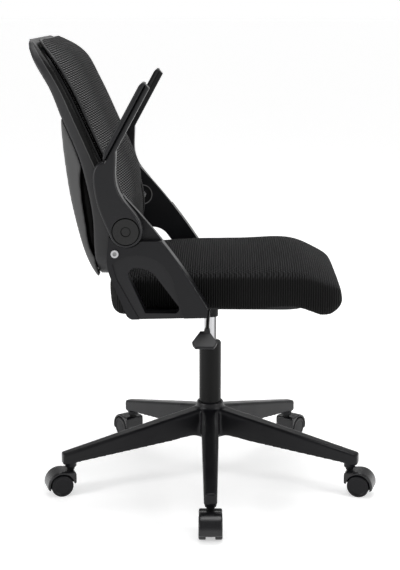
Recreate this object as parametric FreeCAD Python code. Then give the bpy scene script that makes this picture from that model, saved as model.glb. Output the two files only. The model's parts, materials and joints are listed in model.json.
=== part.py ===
import FreeCAD, Part
import math
import os

# Task chair with fold-up arms on a five-leg caster base, in millimetres.
# +X points forward, +Y to the sitter's left, +Z up; the origin is on the floor under the column.
# The arms are modelled folded up, and each caster trails outward.

V = FreeCAD.Vector
X_AXIS = V(1, 0, 0)
Y_AXIS = V(0, 1, 0)
Z_AXIS = V(0, 0, 1)

# Clearances
running_gap = 0.05
seat_gap = 0.02
soft_gap = 0.3

# Base: five legs round a hub
leg_count = 5
base_turn = 1.0
leg_reach = 350.0
leg_root_width = 42.0
leg_tip_width = 28.0
leg_bevel_width = 6.0
leg_bevel_height = 3.5
leg_root_top_z = 179.0
leg_tip_top_z = 96.0
leg_root_low_z = 115.0
leg_tip_low_z = 70.0
leg_end_round = 6.0
hub_top_z = 187.0
hub_low_z = 107.0
hub_rim_wall = 5.0
hub_low_radius = 41.0
hub_web_radius = 33.0
caster_inset = 19.0
caster_radius = leg_reach - caster_inset
boss_radius = 13.0
boss_low_z = 61.5

# Gas lift
column_radius = 25.0
column_bore_radius = 22.5
column_foot_radius = 24.0
column_low_z = 112.0
column_taper_height = 62.0
column_top_z = 325.0
column_floor = 4.0
bush_length = 70.0
bush_collar = 3.0
tube_radius = 14.0
tube_bore_radius = 12.5
tube_low_z = 190.0
tube_top_z = 405.0
tube_gland = 12.0
tube_head = 30.0
rod_radius = 5.0
rod_neck_radius = 4.0
piston_z = 256.0
piston_height = 12.0
bearing_radius = 11.0
bearing_height = 8.0
clip_radius = 8.0
clip_height = 1.5

# Lift lever and valve
button_radius = 4.0
button_length = 28.0
lever_x = -3.0
lever_z = 417.0
lever_radius = 4.0
lever_inner_y = 6.0
lever_outer_y = -252.0
lever_pivot_y = -60.0
lever_pin_radius = 2.0
fork_gap = 0.6
fork_wall = 3.0
fork_length = 18.0
paddle_length = 44.0
paddle_root_width = 19.0
paddle_width = 52.0
paddle_lip_width = 38.0
paddle_thickness = 8.0
paddle_droop = 37.0
paddle_round = 2.5
paddle_overlap = 10.0
paddle_shift = -5.0
paddle_drop = 2.0
paddle_shoulder_share = 0.66
paddle_cheek = 8.0
paddle_cheek_inset = 2.0
paddle_sleeve_wall = 2.5

# Seat plate, pan and cushion
plate_length = 200.0
plate_width = 160.0
plate_thickness = 3.0
plate_skirt = 12.0
plate_bolt_inset = 14.0
socket_radius = 18.0
socket_low_z = 388.0
pan_low_z = 450.0
pan_thickness = 12.0
pan_rear_x = -180.0
pan_front_x = 215.0
pan_half_width = 194.0
pan_corner = 60.0
seat_rear_x = -217.0
seat_front_x = 286.0
seat_half_width = 222.0
seat_crown_z = 547.0
seat_edge_z = 529.0
seat_low_z = 453.0
seat_front_low_z = 438.0
seat_rear_low_z = 439.0
seat_edge_inset = 14.0
seat_front_round = 85.0
seat_side_share = 0.5
seat_side_bow = 0.3
# Rear cuts of the cushion: distance from the rear, narrowing, lift below, drop of the edge, crown's share
seat_rear_cuts = ((0.0, 60.0, 45.0, 24.0, 0.10), (4.0, 46.0, 29.0, 20.0, 0.12),
                  (12.0, 27.0, 10.0, 16.0, 0.14), (24.0, 12.0, 1.0, 13.0, 0.16),
                  (36.0, 6.0, 0.0, 12.0, 0.25), (52.0, 4.0, 2.0, 11.0, 0.50), (71.0, 3.0, 14.0, 10.0, 0.80))
# Middle cuts of the cushion: place along X, narrowing and drop of the edge
seat_middle_cuts = ((-120.0, 2.0, 9.0), (-10.0, 3.0, 2.0), (110.0, 0.0, 0.0))
# Front cuts of the cushion: share of the front rounding, narrowing, lift below, drop of the edge
seat_front_cuts = ((0.0, 2.0, 0.20, 3.0), (0.48, 10.0, 0.0, 17.0), (0.84, 26.0, 0.11, 30.0),
                   (1.0, 46.0, 0.34, 45.0))
seat_front_flatten = 0.7
bolt_radius = 3.0
bolt_head_radius = 6.0
bolt_head_height = 4.0

# Back, seen from the side: the pad's edge line and the rear of the hoop, each from foot to top
back_foot = (-176.0, 540.0)
back_lumbar = (-163.0, 610.0)
back_waist = (-178.0, 695.0)
back_middle = (-215.0, 775.0)
back_upper = (-278.0, 913.0)
back_shoulder = (-311.0, 967.0)
back_top = (-354.0, 1012.0)
rear_foot = (-226.0, 527.0)
rear_low = (-238.0, 580.0)
rear_waist = (-240.0, 654.0)
rear_middle = (-266.0, 774.0)
rear_wing = (-297.0, 848.0)
rear_upper = (-328.0, 926.0)
rear_shoulder = (-354.0, 967.0)
rear_top = (-373.0, 1011.0)
yoke_foot = (-231.0, 528.0)
yoke_low = (-255.0, 573.0)
yoke_waist = (-278.0, 659.0)
yoke_middle = (-291.0, 735.0)
yoke_wing = (-299.5, 816.0)
yoke_top = (-301.0, 858.0)
frame_half_width = 228.0
frame_rail = 30.0
frame_top_rail = 30.0
frame_foot_rail = 42.0
frame_low_z = 527.0
frame_top_z = 1011.0
frame_top_corner = 85.0
frame_foot_corner = 45.0
ring_least_corner = 10.0
frame_lip = 12.0
frame_lip_depth = 6.0
frame_step = 2.0
frame_parting_share = 0.34
pad_wall = 14.0
board_thickness = 4.0
board_margin = 14.0
pad_half_width = 211.0
pad_low_z = 546.0
pad_top_z = 1010.0
pad_crown = 31.0
pad_end_crown = 0.06
pad_fade = 10
pad_foot_fade = 1.53
pad_foot_power = 1.77
pad_corner = 82.0
yoke_shell = 7.0
yoke_bulge = 18.0
yoke_dip_radius = 420.0
yoke_dip_depth = 64.0
yoke_window_top_z = 758.0
yoke_window_low_z = 566.0
yoke_window_depth = 17.0
yoke_pocket_wall = 6.0
screw_radius = 2.5
screw_head_radius = 5.0
screw_head_height = 3.0
screw_length = 24.0
screw_bite = 0.3

# Side brackets and arms; the arm turns on a pin along Y at the pivot
bracket_plate = 17.0
bracket_thickness = 35.0
bracket_round = 5.0
bracket_recess = 3.0
bracket_flange = 10.0
bracket_flange_inner_y = 150.0
flange_rear_offset = 26.0
flange_front_x = -14.0
pivot_x = -168.0
pivot_z = 631.0
eye_radius = 34.0
eye_gap = 2.5
arm_gap = 1.0
arm_room_rear = 80.0
arm_room_front = 90.0
arm_room_height = 110.0
arm_room_rear_share = 0.42
arm_room_front_share = 0.62
arm_thickness = 32.0
arm_round = 5.0
arm_pad_thickness = 10.0
arm_pad_width = 44.0
arm_pad_round = 2.0
arm_pad_length = 172.0
arm_bar_thickness = 21.0
arm_bar_lean = 28.7
arm_bar_offset = 115.0
arm_tip_reach = 276.0
cap_radius = 27.5
cap_depth = 4.0
cap_proud = 1.5
cap_round = 1.0
cap_eye_radius = 9.5
pin_radius = 5.0
pin_head_radius = 9.0
pin_head_height = 4.0
pin_well_radius = 23.0
back_bolt_radius = 4.0
back_bolt_head_radius = 8.0
back_bolt_head_height = 5.0
back_bolt_reach = 24.0
back_bolt_x = -192.0
back_bolt_z = 583.0
upper_bolt_x = -193.0
upper_bolt_z = 656.0
upper_bolt_head_radius = 6.0

# Bracket outline from the side: foot points as (x, height above the foot), the rest as (x, z)
foot_rear_at = (-158.0, 4.0)
foot_front_at = (-3.0, 8.0)
foot_nose_at = (0.0, 28.0)
foot_heel_at = (-172.0, 18.0)
foot_curve_at = (-167.0, 9.0)
front_curve_at = (-77.0, 584.0)
heel_at = (-209.0, 572.0)
heel_curve_at = (-207.0, 550.0)
heel_low_at = (-201.0, 530.0)
# Round top of the bracket, as (x, z) from the pivot
crest_front_at = (-2.0, 64.0)
crest_at = (-16.0, 72.0)
crest_rear_at = (-29.0, 58.0)
# Window in the bracket: the sill above the pan's underside, then points as (x, z)
sill_height = 7.0
sill_rear_x = -131.0
sill_front_x = -68.0
sill_curve_at = (-61.0, 464.0)
window_nose_at = (-64.0, 475.0)
window_front_at = (-110.0, 537.0)
window_front_curve_at = (-125.0, 548.0)
window_top_at = (-143.0, 552.0)
window_rear_curve_at = (-161.0, 548.0)
window_rear_at = (-166.0, 536.0)
# Facet round the window, as (x, z)
facet_rear_at = (-198.0, 560.0)
facet_curve_at = (-118.0, 574.0)
facet_front_at = (-70.0, 510.0)
facet_heel_at = (-190.0, 530.0)
facet_foot_front_x = -48.0
facet_foot_rear_x = -140.0
# Bent stalk of the folded arm, as (x, z) from the pivot, upward
stalk_rear = ((-56.0, 50.0), (-63.5, 86.0))
stalk_front = ((20.0, 34.0), (-5.0, 66.0), (-18.0, 97.0), (-19.5, 128.0))

# Casters: twin wheels under a hood
wheel_radius = 25.0
wheel_width = 16.5
wheel_round = 3.0
wheel_dish = 1.2
caster_width = 50.0
caster_trail = 24.0
hood_radius = 33.0
hood_wall_gap = 2.0
hood_inner_reach = 8.5
hood_inner_wall = 4.0
hood_inner_low_z = 29.0
hood_top_z = 56.5
hood_lip_angle = -12.0
web_gap = 0.8
axle_radius = 4.0
stem_radius = 5.5
stem_height = 22.0
stem_sink = 12.0

os.makedirs("parts", exist_ok=True)


def export(name, *solids):
    """Writes one node, either a single solid or a group of alike solids."""
    shape = solids[0] if len(solids) == 1 else Part.makeCompound(list(solids))
    shape.exportStep("parts/" + name + ".step")


def line(a, b):
    return Part.LineSegment(a, b).toShape()


def arc(a, middle, b):
    return Part.Arc(a, middle, b).toShape()


def spline(points):
    curve = Part.BSplineCurve()
    curve.interpolate(points)
    return curve.toShape()


def face(edges):
    return Part.Face(Part.Wire(Part.__sortEdges__(edges)))


def polygon(points):
    return Part.Face(Part.makePolygon(points + [points[0]]))


def rod(radius, start, end):
    """A cylinder from one point to another."""
    return Part.makeCylinder(radius, (end - start).Length, start, end - start)


def box(low, high):
    return Part.makeBox(high.x - low.x, high.y - low.y, high.z - low.z, low)


def lathe(profile):
    """A solid turned about the Z axis from (radius, z) points."""
    points = [V(r, 0, z) for r, z in profile]
    return polygon(points).revolve(V(0, 0, 0), Z_AXIS, 360)


def mirrored(shape):
    """The same piece on the other side of the chair."""
    return shape.mirror(V(0, 0, 0), Y_AXIS)


def steps(start, end, count):
    return [start + (end - start) * k / (count - 1) for k in range(count)]


def line_x(points, z):
    """X at height z of the smooth line through (x, z) points listed upward."""
    last = len(points) - 1
    slopes = []
    for k in range(last + 1):
        below = points[max(k - 1, 0)]
        above = points[min(k + 1, last)]
        slopes.append((above[0] - below[0]) / (above[1] - below[1]))
    k = 0
    while k < last - 1 and z > points[k + 1][1]:
        k += 1
    x0, z0 = points[k]
    x1, z1 = points[k + 1]
    span = z1 - z0
    t = (z - z0) / span
    return (x0 * (1 + 2 * t) * (1 - t) ** 2 + span * slopes[k] * t * (1 - t) ** 2
            + x1 * t * t * (3 - 2 * t) + span * slopes[k + 1] * t * t * (t - 1))


def side_face(front_x, rear_x, low_z, top_z, y, count=9):
    """A face in the plane Y = y between two lines given as functions of height."""
    levels = steps(low_z, top_z, count)
    front = [V(front_x(z), y, z) for z in levels]
    rear = [V(rear_x(z), y, z) for z in levels]
    return face([spline(front), line(front[-1], rear[-1]), spline(rear), line(rear[0], front[0])])


def rounded_panel(half_width, low_z, top_z, low_corner, top_corner, x0, x1):
    """A prism along X whose outline in the YZ plane has round corners."""
    diagonal = 1 - math.sqrt(0.5)
    edges = []
    low_flat = half_width - low_corner
    top_flat = half_width - top_corner
    for side in (1, -1):
        edges.append(line(V(x0, side * half_width, low_z + low_corner),
                          V(x0, side * half_width, top_z - top_corner)))
        edges.append(arc(V(x0, side * half_width, top_z - top_corner),
                         V(x0, side * (half_width - top_corner * diagonal), top_z - top_corner * diagonal),
                         V(x0, side * top_flat, top_z)))
        edges.append(arc(V(x0, side * half_width, low_z + low_corner),
                         V(x0, side * (half_width - low_corner * diagonal), low_z + low_corner * diagonal),
                         V(x0, side * low_flat, low_z)))
    edges.append(line(V(x0, -top_flat, top_z), V(x0, top_flat, top_z)))
    edges.append(line(V(x0, -low_flat, low_z), V(x0, low_flat, low_z)))
    return face(edges).extrude(V(x1 - x0, 0, 0))


def edges_where(shape, test):
    return [edge for edge in shape.Edges if test(edge)]


def at(point, y):
    """The point of the plane Y = y with the given x and z."""
    return V(point[0], y, point[1])


def lies_on_y(y):
    """A test for edges that lie wholly in the plane Y = y."""
    return lambda edge: abs(edge.BoundBox.YMin - y) < 0.01 and abs(edge.BoundBox.YMax - y) < 0.01


# Base and gas lift

def leg_section(radius, width, low_z, top_z):
    half = width / 2
    flat = half - leg_bevel_width
    side_z = top_z - leg_bevel_height
    return Part.makePolygon([V(radius, -half, low_z), V(radius, half, low_z), V(radius, half, side_z),
                             V(radius, flat, top_z), V(radius, -flat, top_z), V(radius, -half, side_z),
                             V(radius, -half, low_z)])


def leg_angle(k):
    return base_turn - 90.0 + 360.0 / leg_count * k


def make_leg():
    """One leg along +X, with the caster boss and its socket."""
    root = leg_section(0, leg_root_width, leg_root_low_z, leg_root_top_z)
    tip = leg_section(leg_reach, leg_tip_width, leg_tip_low_z, leg_tip_top_z)
    bar = Part.makeLoft([root, tip], True, True)

    def upright_end(edge):
        return edge.BoundBox.XMin > leg_reach - 0.01 and edge.BoundBox.ZLength > leg_bevel_height + 1
    end_edges = edges_where(bar, upright_end)
    bar = bar.makeFillet(leg_end_round, end_edges)
    boss = rod(boss_radius, V(caster_radius, 0, boss_low_z),
               V(caster_radius, 0, leg_tip_top_z - leg_bevel_height * 2))
    socket = rod(stem_radius + running_gap, V(caster_radius, 0, boss_low_z),
                 V(caster_radius, 0, boss_low_z + stem_height + 1))
    return bar.fuse(boss).cut(socket)


def column_profile(extra):
    """The outside of the column tube as (radius, z) points, grown by a gap."""
    return [(column_foot_radius + extra, column_low_z),
            (column_radius + extra, column_low_z + column_taper_height),
            (column_radius + extra, column_top_z)]


def make_base():
    rim = column_radius + hub_rim_wall
    waist_z = (hub_top_z + leg_root_low_z) / 2
    hub = lathe([(0, hub_low_z), (hub_low_radius, hub_low_z),
                 (hub_low_radius, leg_root_low_z + hub_rim_wall),
                 (hub_web_radius + 2, waist_z), (rim, hub_top_z), (0, hub_top_z)])
    star = hub
    for k in range(leg_count):
        star = star.fuse(make_leg().rotate(V(0, 0, 0), Z_AXIS, leg_angle(k)))
    bore = lathe([(0, column_low_z)] + column_profile(seat_gap) + [(0, column_top_z)])
    under = rod(bearing_radius, V(0, 0, hub_low_z - 5), V(0, 0, column_low_z))
    return star.cut(bore).cut(under).removeSplitter()


def make_column_tube():
    outside = column_profile(0)
    inside_top = (column_bore_radius, column_top_z)
    inside_low = (column_bore_radius, column_low_z + column_floor)
    hole = rod_neck_radius + 2 * running_gap
    return lathe(outside + [inside_top, inside_low, (hole, column_low_z + column_floor),
                            (hole, column_low_z)])


def make_column_bush():
    body = column_bore_radius - seat_gap
    guide = tube_radius + running_gap
    return lathe([(guide, column_top_z - bush_length), (body, column_top_z - bush_length),
                  (body, column_top_z),
                  (column_radius - 1, column_top_z), (column_radius - 2, column_top_z + bush_collar),
                  (guide, column_top_z + bush_collar)])


def make_thrust_bearing():
    low = column_low_z + column_floor
    hole = rod_neck_radius + 2 * running_gap
    return lathe([(hole, low), (bearing_radius, low), (bearing_radius, low + bearing_height),
                  (hole, low + bearing_height)])


def make_piston_rod():
    shoulder = column_low_z + column_floor + bearing_height + running_gap
    collar_top = shoulder + bearing_height / 2
    collar = bearing_radius - 2
    piston = tube_bore_radius - running_gap
    foot = column_low_z - running_gap - clip_height * 2
    return lathe([(0, foot), (rod_neck_radius, foot), (rod_neck_radius, shoulder), (collar, shoulder),
                  (collar, collar_top), (rod_radius, collar_top), (rod_radius, piston_z),
                  (piston, piston_z), (piston, piston_z + piston_height), (0, piston_z + piston_height)])


def make_retaining_clip():
    top = column_low_z - running_gap
    hole = rod_neck_radius + seat_gap
    return lathe([(hole, top - clip_height), (clip_radius, top - clip_height), (clip_radius, top),
                  (hole, top)])


def make_pressure_tube():
    gland_top = tube_low_z + tube_gland
    head_low = tube_top_z - tube_head
    gland = rod_radius + running_gap
    valve = button_radius + running_gap
    outside = [(gland, tube_low_z), (tube_radius, tube_low_z), (tube_radius, tube_top_z),
               (valve, tube_top_z)]
    inside = [(valve, head_low), (tube_bore_radius, head_low), (tube_bore_radius, gland_top),
              (gland, gland_top)]
    return lathe(outside + inside)


# Lever and valve

def make_valve_button():
    top = lever_z - lever_radius - running_gap
    return rod(button_radius, V(0, 0, top - button_length), V(0, 0, top))


def make_lever_rod():
    bar = rod(lever_radius, V(lever_x, lever_inner_y, lever_z), V(lever_x, lever_outer_y, lever_z))
    hole = rod(lever_pin_radius + running_gap, V(lever_x - 2 * lever_radius, lever_pivot_y, lever_z),
               V(lever_x + 2 * lever_radius, lever_pivot_y, lever_z))
    return bar.cut(hole)


def make_lever_pin():
    reach = lever_radius + fork_gap + fork_wall
    return rod(lever_pin_radius, V(lever_x - reach, lever_pivot_y, lever_z),
               V(lever_x + reach, lever_pivot_y, lever_z))


def make_lever_paddle():
    """A drooping rounded triangle on the outer end of the lever, with a sleeve round the rod."""
    shoulder = paddle_length * paddle_shoulder_share
    half_outline = [(paddle_root_width / 2, 0), (paddle_width / 2, shoulder),
                    (paddle_width / 2 - paddle_cheek_inset, shoulder + paddle_cheek),
                    (paddle_lip_width / 2, paddle_length)]
    outline = half_outline + [(-t, s) for t, s in reversed(half_outline)]
    blade = polygon([V(t, -s, 0) for t, s in outline]).extrude(V(0, 0, paddle_thickness))
    rims = edges_where(blade, lambda e: e.BoundBox.ZLength < 0.01)
    corners = edges_where(blade, lambda e: e.BoundBox.ZLength > 1)
    blade = blade.makeFillet(paddle_round, rims + corners)
    blade.translate(V(0, 0, -paddle_thickness / 2))
    blade = blade.rotate(V(0, 0, 0), X_AXIS, paddle_droop)
    blade.translate(V(lever_x + paddle_shift, lever_outer_y + paddle_thickness / 2, lever_z - paddle_drop))
    sleeve = rod(lever_radius + paddle_sleeve_wall, V(lever_x, lever_outer_y + paddle_overlap, lever_z),
                 V(lever_x, lever_outer_y - paddle_thickness / 2, lever_z))
    hole = rod(lever_radius + seat_gap, V(lever_x, lever_outer_y + 2 * paddle_overlap, lever_z),
               V(lever_x, lever_outer_y - seat_gap, lever_z))
    return blade.fuse(sleeve).cut(hole).removeSplitter()


# Seat

def plate_bolt_places():
    return [(sx * (plate_length / 2 - plate_bolt_inset), sy * (plate_width / 2 - 2 * plate_bolt_inset))
            for sx in (-1, 1) for sy in (-1, 1)]


def make_seat_plate():
    """A pressed plate with a skirt, the tapered socket and the fork that holds the lever pin."""
    half_x = plate_length / 2
    half_y = plate_width / 2
    low = pan_low_z - plate_thickness
    plate = box(V(-half_x, -half_y, low), V(half_x, half_y, pan_low_z))
    for side in (-1, 1):
        wall_y = side * (half_y - plate_thickness / 2)
        plate = plate.fuse(box(V(-half_x, wall_y - plate_thickness / 2, low - plate_skirt),
                               V(half_x, wall_y + plate_thickness / 2, low)))
    socket = rod(socket_radius, V(0, 0, socket_low_z), V(0, 0, low))
    bore = rod(tube_radius + seat_gap, V(0, 0, socket_low_z), V(0, 0, tube_top_z))
    room = rod(tube_radius + 1, V(0, 0, tube_top_z), V(0, 0, low))
    slot_half = lever_radius + 1
    slot = box(V(lever_x - slot_half, -2 * socket_radius, tube_top_z),
               V(lever_x + slot_half, 0, lever_z + lever_radius + 4))
    plate = plate.fuse(socket).cut(bore).cut(room).cut(slot)
    for side in (-1, 1):
        inner = lever_x + side * (lever_radius + fork_gap)
        outer = inner + side * fork_wall
        tab = box(V(min(inner, outer), lever_pivot_y - fork_length / 2, lever_z - 2 * lever_radius),
                  V(max(inner, outer), lever_pivot_y + fork_length / 2, low))
        plate = plate.fuse(tab)
    pin = rod(lever_pin_radius, V(lever_x - 4 * lever_radius, lever_pivot_y, lever_z),
              V(lever_x + 4 * lever_radius, lever_pivot_y, lever_z))
    plate = plate.cut(pin)
    for x, y in plate_bolt_places():
        plate = plate.cut(rod(bolt_radius, V(x, y, low - 1), V(x, y, pan_low_z + 1)))
    return plate.removeSplitter()


def make_bolt(x, y, face_z):
    """A bolt from below whose head bears on face_z and whose shank ends inside the pan."""
    head = rod(bolt_head_radius, V(x, y, face_z - bolt_head_height), V(x, y, face_z))
    shank = rod(bolt_radius, V(x, y, face_z), V(x, y, pan_low_z + pan_thickness - 2))
    return head.fuse(shank)


def bracket_bolt_places():
    """Bolt places under the right bracket's flange."""
    middle_y = -(bracket_flange_inner_y + 3 * bolt_head_radius)
    return [(x, middle_y) for x in steps(flange_rear_x() + 3 * bolt_head_radius,
                                         flange_front_x - 3 * bolt_head_radius, 3)]


def make_seat_pan():
    half = pan_half_width
    blank = box(V(pan_rear_x, -half, pan_low_z), V(pan_front_x, half, pan_low_z + pan_thickness))
    blank = blank.makeFillet(pan_corner,
                             edges_where(blank, lambda e: e.BoundBox.ZLength > pan_thickness - 1))
    places = plate_bolt_places()
    for x, y in bracket_bolt_places():
        places += [(x, y), (x, -y)]
    for x, y in places:
        blank = blank.cut(rod(bolt_radius, V(x, y, pan_low_z), V(x, y, pan_low_z + pan_thickness - 2)))
    return blank


def cushion_section(x, half_width, low_z, edge_z, crown_z):
    """One cross-section of the cushion: flat below, round drawn-in sides, crowned on top."""
    inset = min(seat_edge_inset, half_width / 4)
    inner = half_width - inset
    middle_z = low_z + (edge_z - low_z) * seat_side_share
    bow = inset * seat_side_bow
    edges = [line(V(x, -inner, low_z), V(x, inner, low_z)),
             arc(V(x, inner, edge_z), V(x, 0, crown_z), V(x, -inner, edge_z))]
    for side in (1, -1):
        edges.append(arc(V(x, side * inner, low_z), V(x, side * (half_width - bow), (low_z + middle_z) / 2),
                         V(x, side * half_width, middle_z)))
        edges.append(arc(V(x, side * half_width, middle_z),
                         V(x, side * (half_width - bow), (edge_z + middle_z) / 2),
                         V(x, side * inner, edge_z)))
    return Part.Wire(Part.__sortEdges__(edges))


def make_seat_cushion():
    """A crowned cushion with a waterfall front, hollowed below for the pan."""
    rise = seat_crown_z - seat_edge_z
    height = seat_edge_z - seat_low_z
    sections = []
    for distance, narrow, lift, drop, crown in seat_rear_cuts:
        edge_z = seat_edge_z - drop
        sections.append(cushion_section(seat_rear_x + distance, seat_half_width - narrow,
                                        seat_rear_low_z + lift, edge_z, edge_z + rise * crown))
    for x, narrow, drop in seat_middle_cuts:
        sections.append(cushion_section(x, seat_half_width - narrow, seat_low_z, seat_edge_z - drop,
                                        seat_crown_z - drop))
    for share, narrow, low, drop in seat_front_cuts:
        edge_z = seat_edge_z - drop
        sections.append(cushion_section(seat_front_x - seat_front_round * (1 - share),
                                        seat_half_width - narrow,
                                        seat_front_low_z + height * low, edge_z,
                                        edge_z + rise * (1 - seat_front_flatten * share)))
    body = Part.makeLoft(sections, True, False)
    grow = soft_gap
    pocket = box(V(pan_rear_x - grow, -pan_half_width - grow, seat_front_low_z - 20),
                 V(pan_front_x + grow, pan_half_width + grow, pan_low_z + pan_thickness + grow))
    pocket = pocket.makeFillet(pan_corner,
                               edges_where(pocket, lambda e: e.BoundBox.ZLength > pan_thickness))
    return body.cut(pocket)


# Back

def pad_line(z):
    return line_x([back_foot, back_lumbar, back_waist, back_middle, back_upper, back_shoulder, back_top], z)


def frame_front(z):
    return pad_line(z) - pad_wall


def frame_rear(z):
    return line_x([rear_foot, rear_low, rear_waist, rear_middle, rear_wing, rear_upper, rear_shoulder,
                   rear_top], z)


def yoke_rear(z):
    return line_x([yoke_foot, yoke_low, yoke_waist, yoke_middle, yoke_wing, yoke_top], z)


def frame_slab(front_x, rear_x, low_z, top_z, half_width):
    return side_face(front_x, rear_x, low_z, top_z, -half_width, 11).extrude(V(0, 2 * half_width, 0))


def panel_ring(half_width, low_z, top_z, low_corner, top_corner, side_rail, low_rail, top_rail):
    """A ring along X: a round-cornered panel with a round-cornered opening."""
    far_rear = rear_top[0] - 60
    far_front = back_lumbar[0] + 60
    outer = rounded_panel(half_width, low_z, top_z, low_corner, top_corner, far_rear, far_front)
    inner_low_corner = max(low_corner - side_rail, ring_least_corner)
    inner_top_corner = max(top_corner - side_rail, ring_least_corner)
    inner = rounded_panel(half_width - side_rail, low_z + low_rail, top_z - top_rail, inner_low_corner,
                          inner_top_corner, far_rear, far_front)
    return outer.cut(inner)


def frame_parting(z):
    return frame_front(z) + (frame_rear(z) - frame_front(z)) * frame_parting_share


def make_back_frame():
    """The hoop: the side profile cut to a ring, with a stepped side and a thin lip behind the board."""
    slab = frame_slab(frame_front, frame_rear, frame_low_z, frame_top_z, frame_half_width)
    ring = panel_ring(frame_half_width, frame_low_z, frame_top_z, frame_foot_corner, frame_top_corner,
                      frame_rail, frame_foot_rail, frame_top_rail)
    hoop = slab.common(ring)
    step = side_face(lambda z: frame_front(z) + pad_wall, frame_parting, frame_low_z - 1, frame_top_z + 1,
                     frame_half_width - frame_step, 11).extrude(V(0, 2 * frame_step, 0))
    hoop = hoop.cut(step).cut(mirrored(step))
    lip_slab = frame_slab(frame_front, lambda z: frame_front(z) - frame_lip_depth, frame_low_z, frame_top_z,
                          frame_half_width)
    lip_ring = panel_ring(frame_half_width - frame_rail + 1, frame_low_z + frame_foot_rail - 1,
                          frame_top_z - frame_top_rail + 1, frame_foot_corner,
                          frame_top_corner - frame_rail, frame_lip + 1, frame_lip + 1, frame_lip + 1)
    return hoop.fuse(lip_slab.common(lip_ring))


def board_outline():
    margin = board_margin
    return (frame_half_width - margin, frame_low_z + margin + 6, frame_top_z - margin, frame_foot_corner,
            pad_corner)


def make_back_board():
    half, low_z, top_z, low_corner, top_corner = board_outline()
    sheet = frame_slab(lambda z: frame_front(z) + board_thickness, frame_front, frame_low_z, frame_top_z,
                       half)
    panel = rounded_panel(half, low_z, top_z, low_corner, top_corner, rear_top[0] - 60, back_lumbar[0] + 60)
    return sheet.common(panel)


def pad_section(z):
    """One level cut of the back pad: flat behind, crowned in front."""
    depth = pad_top_z - z
    half = pad_half_width
    if depth < pad_corner:
        across = pad_corner ** 2 - (pad_corner - depth) ** 2
        half = pad_half_width - pad_corner + math.sqrt(max(across, 1.0))
    share = (2 * z - pad_low_z - pad_top_z) / (pad_top_z - pad_low_z)
    fade = share ** pad_fade if share > 0 else pad_foot_fade * abs(share) ** pad_foot_power
    crown = pad_crown * max(1 + pad_end_crown - fade, pad_end_crown)
    rear_x = frame_front(z)
    edge_x = pad_line(z)
    return Part.Wire(Part.__sortEdges__([
        line(V(rear_x, -half, z), V(rear_x, half, z)), line(V(rear_x, half, z), V(edge_x, half, z)),
        arc(V(edge_x, half, z), V(edge_x + crown, 0, z), V(edge_x, -half, z)),
        line(V(edge_x, -half, z), V(rear_x, -half, z))]))


def make_back_pad():
    levels = steps(pad_low_z, pad_top_z - pad_corner, 7)
    levels += [pad_top_z - pad_corner * share for share in (0.55, 0.25, 0.06, 0.0)]
    body = Part.makeLoft([pad_section(z) for z in levels], True, False)
    behind = frame_slab(lambda z: frame_front(z) + board_thickness + soft_gap,
                        lambda z: frame_front(z) - pad_wall,
                        frame_low_z, frame_top_z, frame_half_width)
    return body.cut(behind)


def yoke_window():
    """The lens-shaped pocket in the outer side of the left bow, next to the hoop."""
    def front(z):
        return frame_rear(z)

    def rear(z):
        share = (z - yoke_window_low_z) / (yoke_window_top_z - yoke_window_low_z)
        return frame_rear(z) - yoke_window_depth * math.sin(math.pi * share) ** 0.7 - 0.01
    floor_y = frame_half_width - frame_rail + yoke_pocket_wall
    lens = side_face(front, rear, yoke_window_low_z, yoke_window_top_z, floor_y)
    return lens.extrude(V(0, frame_rail, 0))


def yoke_shell_section(y):
    """The thin web of the yoke at one station across the back."""
    inner = frame_half_width - frame_rail
    bulge = yoke_bulge * (1 - (y / inner) ** 2)
    low = yoke_low[1] - 20
    top = yoke_wing[1] - 6
    return side_face(lambda z: yoke_rear(z) + yoke_shell - bulge, lambda z: yoke_rear(z) - bulge, low, top,
                     y, 7).OuterWire


def make_back_yoke():
    """Two side bows along the hoop, joined by a thin web that bulges rearward."""
    def middle(z):
        return (frame_front(z) + frame_rear(z)) / 2
    slab = frame_slab(frame_front, lambda z: frame_rear(z) - soft_gap, frame_low_z, frame_top_z,
                      frame_half_width + 5)
    inner = frame_half_width - frame_rail
    bow = side_face(middle, yoke_rear, yoke_foot[1], yoke_top[1], inner).extrude(V(0, frame_rail, 0))
    bow = bow.cut(slab).cut(yoke_window())
    web = Part.makeLoft([yoke_shell_section(y) for y in steps(-inner, inner, 7)], True, False)
    dip_low_z = yoke_wing[1] - yoke_dip_depth
    dip_z = dip_low_z + yoke_dip_radius
    dip = rod(yoke_dip_radius, V(yoke_top[0] - 90, 0, dip_z), V(frame_rear(dip_low_z) + 60, 0, dip_z))
    web = web.cut(dip)
    return bow.fuse(web).fuse(mirrored(bow)).removeSplitter()


def yoke_screw_places():
    """Places of the yoke's screws on the right side, as (y, z)."""
    y = -(frame_half_width - frame_rail / 2)
    return [(y, yoke_wing[1]), (y, yoke_foot[1] + 3 * screw_head_radius)]


def make_screw(x, y, z, reach):
    """A screw along X that enters from behind, with its head on the outside."""
    head = rod(screw_head_radius, V(x - screw_head_height, y, z), V(x, y, z))
    return head.fuse(rod(screw_radius, V(x, y, z), V(x + reach, y, z)))


# Brackets and arms

def flange_rear_x():
    return pivot_x + flange_rear_offset


def bracket_inner_y():
    return -frame_half_width


def arm_inner_y():
    return -(frame_half_width + bracket_plate + arm_gap)


def arm_outer_y():
    return arm_inner_y() - arm_thickness


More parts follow.
